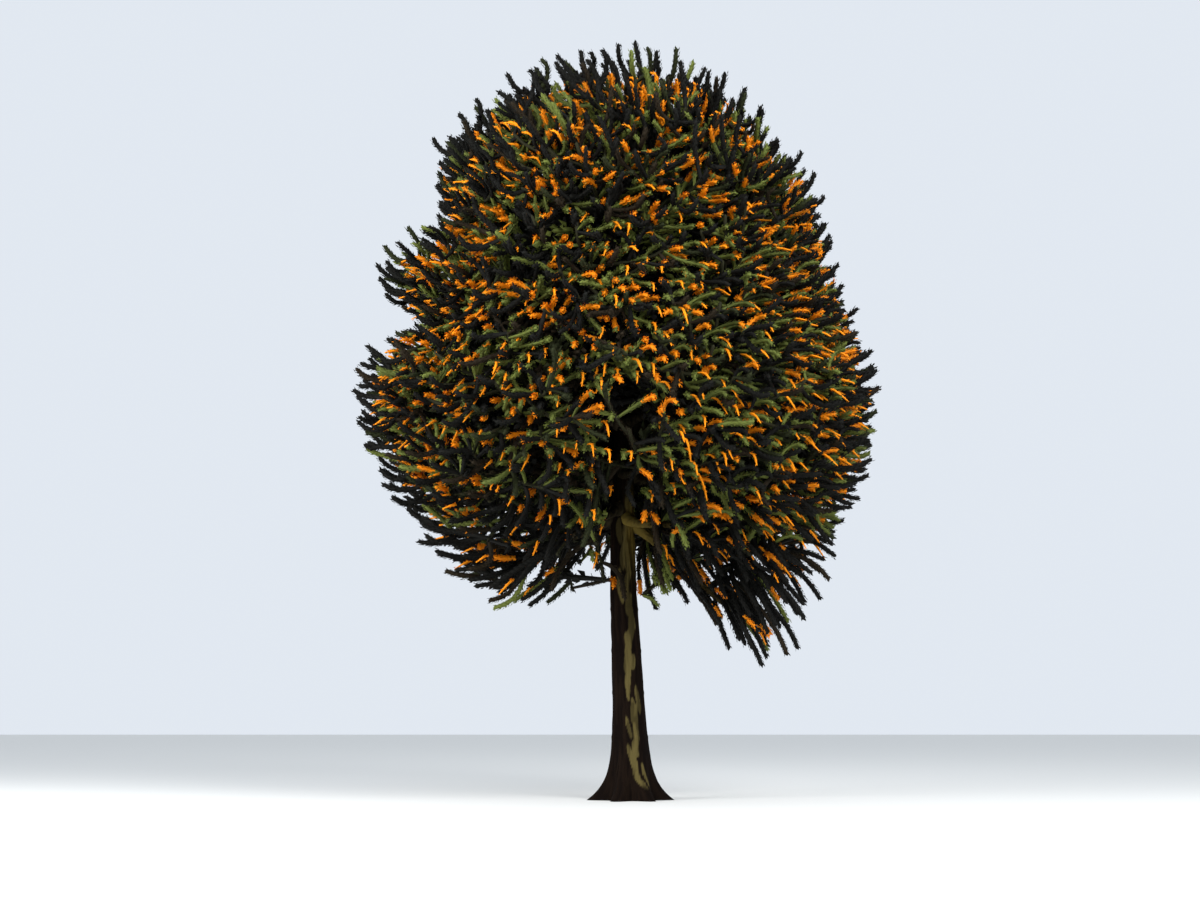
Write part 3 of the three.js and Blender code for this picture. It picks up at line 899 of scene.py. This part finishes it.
shoot_places = curve_points(shoots, np.linspace(SHOOT_FOOT, 1, SHOOT_SAMPLES))[0]


def nearest_samples(points):
    """The shoot, and the step along it, that are nearest to each point."""
    samples = shoot_places.reshape(-1, 3)
    square = (samples**2).sum(-1)
    best = [
        (square[None] - 2 * points[first : first + SAMPLED_AT_ONCE] @ samples.T).argmin(-1)
        for first in range(0, len(points), SAMPLED_AT_ONCE)
    ]
    best = np.concatenate(best)
    return best // SHOOT_SAMPLES, best % SHOOT_SAMPLES


def low_left(places, outwards):
    """How far places lie on the crown's left and low down, from 0 to 1. Ropes climb more there
    and curl up."""
    return np.maximum(0, -outwards[:, 0]) ** 2 * np.interp(places[:, 2], LEFT_HEIGHTS, (1, 0))


def ways_at(places, seed):
    """The ways outwards from the trunk, round it, and the way that a rope lies there, which
    climbs or hangs by its height, with how steeply it climbs."""
    outwards = from_trunk(places)
    outwards[:, 2] = 0
    outwards = unit(outwards)
    around = np.cross(UP, outwards)
    low = 0.5 - 0.5 * np.tanh((places[:, 2] - DROOP_TOP) / DROOP_FADE)
    climb = np.interp(places[:, 2], CLIMB_HEIGHTS, CLIMBS) - FRONT_DROOP * outwards[:, 1] ** 2 * low
    climb = climb + LEFT_LIFT * low_left(places, outwards)
    k = np.arange(len(places)) + seed
    climb = climb + ROPE_STRAY * (2 * seeded(k + 0.6) - 1)
    sideways = ROPE_STRAY * (2 * seeded(k + 0.3) - 1)
    lying = unit(outwards + sideways[:, None] * around + climb[:, None] * UP)
    return outwards, around, lying, climb


def in_gap(places, strays):
    """Whether places lie in the gap that shows the trunk from the front, low in the crown, or
    under the arch that the crown's underside makes over the trunk."""
    sideways = from_trunk(places)[:, 0]
    across = np.abs(sideways)
    below = GAP_TOP + GAP_SLOPE * places[:, 1] - places[:, 2]
    gap = (places[:, 1] < 0) & (across < np.minimum(GAP_HALF_WIDTH, GAP_TAPER * below))
    arch_height = ARCH_TOP + ARCH_LEFT * (sideways < 0) - ARCH_SIDES * across
    arch_height = arch_height + ARCH_SLOPE * places[:, 1] + strays
    return gap | ((places[:, 2] < arch_height) & (across < ARCH_HALF_WIDTH))


def room_round(curves):
    """Whether each rope keeps clear of the trunk and the bare boughs."""
    trunk_room, bough_room = room_at(curve_points(curves, ROOM_TESTS)[0].reshape(-1, 3))
    clear = (trunk_room > TRUNK_ROOM) & (bough_room > BOUGH_ROOM)
    return clear.reshape(curves.shape[1], -1).all(-1)


def measured(curves):
    """Curves, their lengths, and the share of its length that each has reached at even
    steps."""
    steps = np.diff(curve_points(curves, np.linspace(0, 1, ROPE_SAMPLES))[0], axis=1)
    reached = np.linalg.norm(steps, axis=-1).cumsum(1)
    reached = np.concatenate([np.zeros((len(reached), 1)), reached], 1)
    lengths = reached[:, -1]
    return dict(curves=curves, lengths=lengths, reached=reached / lengths[:, None])


def grow_ropes(count, depths, reaches, seed, outwards=1.0, free=False, highest=math.inf):
    """Ropes whose tips are spread evenly over a layer of the crown, up to the latitude
    highest, with the levels that they grow from and their tips' depths. They gather at the
    layer's outside where outwards is less than 1."""
    low, high = depths
    fields = spread_over_crown(count, lambda deal: low + (high - low) * deal**outwards, seed, 0)
    fields = fields[fields[:, 0] < highest]
    latitude, azimuth = fields.T[:2]
    setback = TOP_SETBACK * np.maximum(0, np.sin(latitude)) ** TOP_POWER
    fields[:, 2] -= setback
    if free:
        fields[:, 2] -= RIGHT_SETBACK * np.maximum(0, np.cos(latitude) * np.cos(azimuth)) ** 2
    tips = crown_point(*fields.T)
    out, around, lying, climb = ways_at(tips, seed)
    k = np.arange(len(tips)) + seed
    reach = dealt(k + 0.15, reaches)[:, None]
    if free:
        before = lying
        curl = np.interp(tips[:, 2], CURL_HEIGHTS, CURLS) * (climb < STEEPEST_CURLED)
        curl = curl + LEFT_CURL * low_left(tips, out)
        sweep = FREE_SWEEP * seeded(k + 0.85) * (climb > RISING)
        last = unit(lying + curl[:, None] * UP - sweep[:, None] * around)
        reach = reach * np.interp(tips[:, 2], HEM_HEIGHTS, HEM_LENGTHS)[:, None]
    else:
        way = np.where(seeded(k + 0.45) < OTHER_WAY, -1, 1)[:, None] * around
        arched = unit(ARCH_OUT * out + ARCH_ROUND * way + ARCH_UP * UP)
        hooked = unit(lying - HOOK_ROUND * seeded(k + 0.85)[:, None] * way)
        rising = (climb > RISING)[:, None]
        before = np.where(rising, lying, arched)
        last = np.where(rising, hooked, lying)
    bend = tips - ROPE_END * reach * last
    leaving = bend - ROPE_MIDDLE * reach * before
    shoot, step = nearest_samples(leaving - ROPE_FOOT * reach * before)
    share = np.clip((step + seeded(k + 0.95) - 0.5) / (SHOOT_SAMPLES - 1), 0, 1)
    roots = bezier(*shoots[:, shoot], (SHOOT_FOOT + (1 - SHOOT_FOOT) * share)[:, None])[0]
    curves = np.stack([roots, leaving, bend, tips])
    path = curve_points(curves, GAP_TESTS)[0]
    strays = np.repeat(ARCH_STRAY * (2 * seeded(k + 0.55) - 1), path.shape[1])
    crossing = in_gap(path.reshape(-1, 3), strays).reshape(len(tips), -1).any(-1)
    kept = room_round(curves) & (~crossing | (seeded(k + 0.75) < GAP_CROSSED))
    if free:
        filled = np.where((tips[:, 0] < OPEN_TO) & (tips[:, 2] < OPEN_BELOW), OPEN_KEPT, 1)
    else:
        filled = np.interp(tips[:, 2] + FILLED_RIGHT * tips[:, 0], FILLED_HEIGHTS, FILLED)
    kept = kept & (seeded(k + 0.65) < filled)
    levels = shoot_levels[shoot[kept]]
    return measured(curves[:, kept]) | dict(levels=levels, depths=(fields[:, 2] + setback)[kept])


# Each rope has the colour of its own spray. Many have an orange dab near the tip, partly scorched
# leaves and partly a painted sunlit highlight.
rope_finishes = [
    green_finish("scale_dark", plain(17, 17, 14), 0.85),
    green_finish("scale_brown", plain(34, 27, 16), 0.85),
    green_finish("scale_green", plain(36, 40, 20), 0.85),
    green_finish("scale_olive", plain(98, 107, 49), 0.8),
    green_finish("scale_moss", plain(84, 92, 42), 0.8),
    green_finish("scale_orange", plain(222, 129, 11), 0.65),
    green_finish("scale_amber", plain(252, 150, 18), 0.65),
]
DARK, BROWN, GREEN, OLIVE, MOSS, ORANGE, AMBER = range(len(rope_finishes))
DAB_LENGTHS = (0.24, 0.46)
DAB_ENDS = (0.86, 1.1)
NO_DAB = 2.0


def deal_tints(count, shares, seed):
    return np.searchsorted(np.cumsum(shares)[:-1], seeded(np.arange(count) + seed))


def deal_dabs(lengths, share, seed):
    """Where each rope's dab starts and ends, in shares of its length. Some have none."""
    k = np.arange(len(lengths)) + seed
    ends = dealt(k + 0.2, DAB_ENDS)
    starts = ends - dealt(k + 0.4, DAB_LENGTHS) / lengths
    return np.where(seeded(k) < share, starts, NO_DAB), ends


# Shares of dark, brown, green, olive and moss ropes at the crown's edge. Ropes that hang low
# under the crown take them too, as painted shade, which ends between two heights
EDGE_TINTS = (0.74, 0.12, 0.1, 0.03, 0.01)
SHADED_HEIGHTS = (4.5, 5.5)
# A leaf's length, width and spacing, about twice life size
FREE_LEAF = (0.08, 0.042, 0.015)


def dressed(layer, shares, radius, leaf, dab_share=0, rings=ROPE_RINGS):
    """A layer of ropes with its tints, dabs, radii and leaves."""
    edge = layer["depths"] > EDGE_DEPTH
    count = len(edge)
    # Ropes that hang low under the crown take the dark tints as painted shade
    hanging = np.interp(layer["curves"][3, :, 2], SHADED_HEIGHTS, (1, 0))
    shaded = hanging > seeded(np.arange(count) + 0.41)
    outer_tints = deal_tints(count, EDGE_TINTS, 0.23)
    return layer | dict(
        tints=np.where(edge | shaded, outer_tints, deal_tints(count, shares, 0.29)),
        dabs=deal_dabs(layer["lengths"], np.where(edge, 0, dab_share), 0.83),
        radii=radius * np.array([ROPE_ENDS[0], *[1.0] * (rings - 2), ROPE_ENDS[1]]),
        leaf=leaf,
    )


# Free ropes stand out at the crown's edge and hang along its hem. Marked ones lie just
# inside them, and sparse ones with large leaves fill the crown, mostly dark as painted shade deep
# inside it
free_ropes = dressed(
    grow_ropes(count=1250, depths=(0.94, 1.02), reaches=(0.5, 0.85), seed=0.37, free=True),
    shares=EDGE_TINTS,
    radius=FREE_RADIUS,
    leaf=FREE_LEAF,
)
marked_ropes = dressed(
    grow_ropes(count=4650, depths=(0.85, 0.965), reaches=(0.5, 0.85), seed=1.91),
    shares=(0.05, 0.04, 0.06, 0.57, 0.28),
    radius=0.046,
    leaf=(0.068, 0.036, 0.014),
    dab_share=0.46,
)
inner_ropes = dressed(
    grow_ropes(count=3500, depths=(0.35, 0.89), reaches=(0.9, 1.4), seed=2.73, outwards=0.6),
    shares=(0.56, 0.14, 0.12, 0.12, 0.06),
    radius=0.068,
    leaf=(0.22, 0.13, 0.065),
    rings=4,
)
hem_ropes = dressed(
    grow_ropes(
        count=1150, depths=(0.8, 1.0), reaches=(0.65, 1.0), seed=3.31, free=True, highest=-0.6
    ),
    shares=(0.4, 0.12, 0.1, 0.26, 0.12),
    radius=FREE_RADIUS,
    leaf=FREE_LEAF,
    dab_share=0.34,
)

# Thin young twigs stand on the outer ropes, amber all over as a painted sunlit highlight. They run
# out and bend sharply down, or high in the crown climb and bend sideways.
HOOK_DEPTH = 0.925
HEM_HOOK_DEPTH = 0.97
HOOK_FEET = (0.45, 0.8)
HOOK_ARMS = (0.12, 0.22)
HOOK_LEGS = (0.26, 0.46)
HOOK_ARM_OUT = 0.5
HOOK_ARM_UP = 0.25
HOOK_LEG_DOWN = 0.45
HOOK_CORNER = 0.85
HOOK_RADII = (0.012, 0.022, 0.03, 0.025, 0.012)
HOOK_LEAF = (0.055, 0.022, 0.05)


def grow_hooks(carrier, depth, seed):
    """Thin twigs, one on each rope of a layer that has no dab and whose tip is less far out
    than depth."""
    chosen = np.flatnonzero((carrier["dabs"][0] == NO_DAB) & (carrier["depths"] < depth))
    k = np.arange(len(chosen)) + seed
    feet = dealt(k + 0.1, HOOK_FEET)[:, None]
    roots = bezier(*carrier["curves"][:, chosen], feet)[0]
    outwards, around, lying, climb = ways_at(roots, seed)
    arm = unit(around + HOOK_ARM_OUT * outwards + HOOK_ARM_UP * UP)
    leg = unit(lying - HOOK_LEG_DOWN * UP)
    rising = (climb > RISING)[:, None]
    arm_length = dealt(k + 0.5, HOOK_ARMS)[:, None]
    leg_length = dealt(k + 0.7, HOOK_LEGS)[:, None]
    first = np.where(rising, leg_length * lying, arm_length * arm)
    second = np.where(rising, -arm_length * around, leg_length * leg)
    corner = roots + first
    turned = corner + (1 - HOOK_CORNER) * second
    count = len(chosen)
    return dict(
        curves=np.stack([roots, roots + HOOK_CORNER * first, turned, corner + second]),
        levels=carrier["levels"][chosen],
        lengths=(arm_length + leg_length)[:, 0],
        reached=np.tile(np.linspace(0, 1, ROPE_SAMPLES), (count, 1)),
        # Amber all over, a painted sunlit highlight
        tints=np.full(count, AMBER),
        dabs=np.full((2, count), NO_DAB),
        radii=np.array(HOOK_RADII),
        leaf=HOOK_LEAF,
    )


hooks = grow_hooks(marked_ropes, HOOK_DEPTH, seed=0.19)
hem_hooks = grow_hooks(hem_ropes, HEM_HOOK_DEPTH, seed=1.27)
layers = [free_ropes, marked_ropes, inner_ropes, hem_ropes, hooks, hem_hooks]

# The lowest shoots show from underneath, and have leaves of their own
low_shoots = shoots[:, shoot_levels == 0]
low_count = low_shoots.shape[1]
low_layer = measured(low_shoots) | dict(
    levels=np.zeros(low_count, int),
    tints=deal_tints(low_count, EDGE_TINTS, 0.47),
    dabs=np.full((2, low_count), NO_DAB),
    radii=shoot_radii,
    leaf=(0.09, 0.046, 0.017),
)


def rope_cores(layer, mine):
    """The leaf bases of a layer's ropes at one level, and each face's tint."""
    radii = layer["radii"]
    rings = len(radii)
    places, faces = tubes(layer["curves"][:, mine], rings, ROPE_SIDES, radii)
    steps = ring_triangles(rings, ROPE_SIDES).min(-1) // ROPE_SIDES
    steps = np.append(steps, [rings - 2] * ROPE_SIDES)
    along = np.interp((np.arange(rings - 1) + 0.5) / (rings - 1), [0, 1], [0, ROPE_SAMPLES - 1])
    middles = layer["reached"][mine][:, along.astype(int)]
    starts, ends = (some[mine][:, None] for some in layer["dabs"])
    # Faces inside the dab take orange, partly a painted sunlit highlight
    inside = ((middles > starts) & (middles < ends))[:, steps]
    which = np.where(inside, ORANGE, layer["tints"][mine][:, None])
    return places, faces, which.reshape(-1)


for level, level_name in enumerate(LEVELS):
    parts = [rope_cores(layer, layer["levels"] == level) for layer in layers]
    places, faces = join(parts)
    which = np.concatenate([part[2] for part in parts])
    ropes = make_piece(f"ropes_{level_name}", places, faces, rope_finishes, which, smooth=True)
    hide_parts(*masses[level])

# The scale leaves
# Stiff, flat, sharp-pointed leaves as wide as a thumb, each creased along its middle. They
# stand in spirals round the ropes and close in at the tips.
LEAF_ROOT = 0.7
LEAF_ANGLE = math.radians(31)
LEAF_TIP_ANGLE = math.radians(16)
LEAF_WIDEST = 0.4
LEAF_CREASE = 0.22
LEAF_TURN = math.radians(137.5)
LEAVES_FROM = 0.25
LEAVES_CLOSE = 0.8
FEWEST_LEAVES = 4
FIRST_LEAF_TURNED = 7
LEAF_LEAST = 0.85
LEAF_STRAY = 0.3


def places_reached(reached, rope, wanted):
    """The place on its curve where each rope has reached the wanted share of its length."""
    rows = reached[rope]
    below = np.clip((rows <= wanted[:, None]).sum(1) - 1, 0, ROPE_SAMPLES - 2)
    each = np.arange(len(rope))
    low, high = rows[each, below], rows[each, below + 1]
    return (below + (wanted - low) / (high - low)) / (ROPE_SAMPLES - 1)


def scale_leaves(layer, seed):
    """The leaves of a layer: four points for each leaf, its tint and its level."""
    lengths = layer["lengths"]
    length, width, spacing = layer["leaf"]
    counts = np.maximum(((1 - LEAVES_FROM) * lengths / spacing).astype(int), FEWEST_LEAVES)
    rope = np.repeat(np.arange(len(lengths)), counts)
    order = np.arange(len(rope)) - np.repeat(np.cumsum(counts) - counts, counts)
    share = LEAVES_FROM + (1 - LEAVES_FROM) * (order + 0.5) / counts[rope]
    t = places_reached(layer["reached"], rope, share)
    roots, headings = bezier(*layer["curves"][:, rope], t[:, None])
    across, over = frames_along(headings)
    angle = order * LEAF_TURN + FIRST_LEAF_TURNED * seeded(rope + seed)
    outward = across * np.sin(angle)[:, None] + over * np.cos(angle)[:, None]
    closing = np.clip((share - LEAVES_CLOSE) / (1 - LEAVES_CLOSE), 0, 1)
    lift = LEAF_ANGLE + (LEAF_TIP_ANGLE - LEAF_ANGLE) * closing
    k = np.arange(len(rope)) + seed
    lift = lift * (LEAF_LEAST + LEAF_STRAY * seeded(k))
    ahead = headings * np.cos(lift)[:, None] + outward * np.sin(lift)[:, None]
    starts, ends = layer["dabs"]
    # Leaves inside the dab take orange, partly a painted sunlit highlight
    inside = (share > starts[rope]) & (share < ends[rope])
    tint = np.where(inside, ORANGE, layer["tints"][rope])
    span = (length * (LEAF_LEAST + LEAF_STRAY * seeded(k + 0.5)))[:, None]
    base = roots + outward * (layer["radii"].max() * LEAF_ROOT)
    wide = unit(np.cross(ahead, outward)) * (width / 2)
    crease = unit(np.cross(wide, ahead)) * (width * LEAF_CREASE)
    crease = crease * np.sign((crease * outward).sum(-1, keepdims=True))
    middle = base + LEAF_WIDEST * span * ahead + crease
    corners = np.stack([base, middle + wide, base + span * ahead, middle - wide], 1)
    return corners, tint, layer["levels"][rope]


leaves = [scale_leaves(layer, 0.13 + i) for i, layer in enumerate([*layers, low_layer])]
leaf_corners, leaf_tints, leaf_levels = (np.concatenate(some) for some in zip(*leaves))
LEAF_KINDS = (
    ("dark", "foliage_dark", (DARK, BROWN)),
    ("green", "foliage_green", (GREEN,)),
    ("olive", "foliage_olive", (OLIVE, MOSS)),
    ("orange", "foliage_orange", (ORANGE, AMBER)),
)
for level, level_name in enumerate(LEVELS):
    for kind, slot, tints in LEAF_KINDS:
        mine = (leaf_levels == level) & np.isin(leaf_tints, tints)
        corners = leaf_corners[mine]
        firsts = 4 * np.arange(len(corners))[:, None, None]
        faces = (np.array([[0, 1, 2], [0, 2, 3]])[None] + firsts).reshape(-1, 3)
        which = np.repeat(leaf_tints[mine], 2) - tints[0]
        scales = make_piece(
            f"leaves_{kind}_{level_name}",
            corners.reshape(-1, 3),
            faces,
            [rope_finishes[tint] for tint in tints],
            which,
        )
        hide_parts(*masses[level])

# The floor and the light
# A plain pale studio floor, laid flat at the height of the trunk's cut foot. Two wide soft
# lights hang in front of it, under an even pale sky.
FLOOR_SIZE = 300.0
FLOOR_COLOUR = (0.72, 0.72, 0.70, 1)
SKY_COLOUR = (0.86, 0.92, 1.0, 1)
SKY_STRENGTH = 0.88
LIGHT_AIM = (0, 0, 7)
LIGHT_SIZE = 16
floor_mesh = bpy.data.meshes.new("floor")
half = FLOOR_SIZE / 2
floor_mesh.from_pydata(
    [(-half, -half, 0), (half, -half, 0), (half, half, 0), (-half, half, 0)], [], [(0, 1, 2, 3)]
)
floor = new_object("floor", floor_mesh)
floor_finish, floor_shader = new_finish("pale_floor", roughness=0.9, gloss=0.2)[:2]
floor_shader.inputs["Base Color"].default_value = FLOOR_COLOUR
floor_mesh.materials.append(floor_finish)

world = bpy.data.worlds.new("pale_sky")
world.use_nodes = True
sky = world.node_tree.nodes["Background"]
sky.inputs["Color"].default_value = SKY_COLOUR
sky.inputs["Strength"].default_value = SKY_STRENGTH
bpy.context.scene.world = world


def soft_light(name, place, power):
    lamp = bpy.data.lights.new(name, "AREA")
    lamp.shape = "SQUARE"
    lamp.size = LIGHT_SIZE
    lamp.energy = power
    light = new_object(name, lamp)
    light.location = place
    x, y, z = np.subtract(LIGHT_AIM, place)
    light.rotation_euler = (math.atan2(math.hypot(x, y), -z), 0, math.atan2(-x, y))


soft_light("key_light", place=(14, -26, 24), power=11000)
soft_light("fill_light", place=(-22, -16, 12), power=7500)

# The camera
# It stands on the ground in front of the tree, at a grown-up's eye height, and looks
# slightly up at the crown through a lens of middle length.
LENS = 50
SENSOR_WIDTH = 36
SEES_TO = 600
EYE = (-0.627, -34.384, 1.6)
LOOKS_UP = math.radians(9.1956)
camera_data = bpy.data.cameras.new("camera")
camera_data.lens = LENS
camera_data.sensor_width = SENSOR_WIDTH
camera_data.clip_end = SEES_TO
camera = new_object("camera", camera_data)
camera.location = EYE
camera.rotation_euler = (math.pi / 2 + LOOKS_UP, 0, 0)
bpy.context.scene.camera = camera
bpy.context.scene.view_settings.view_transform = "Standard"
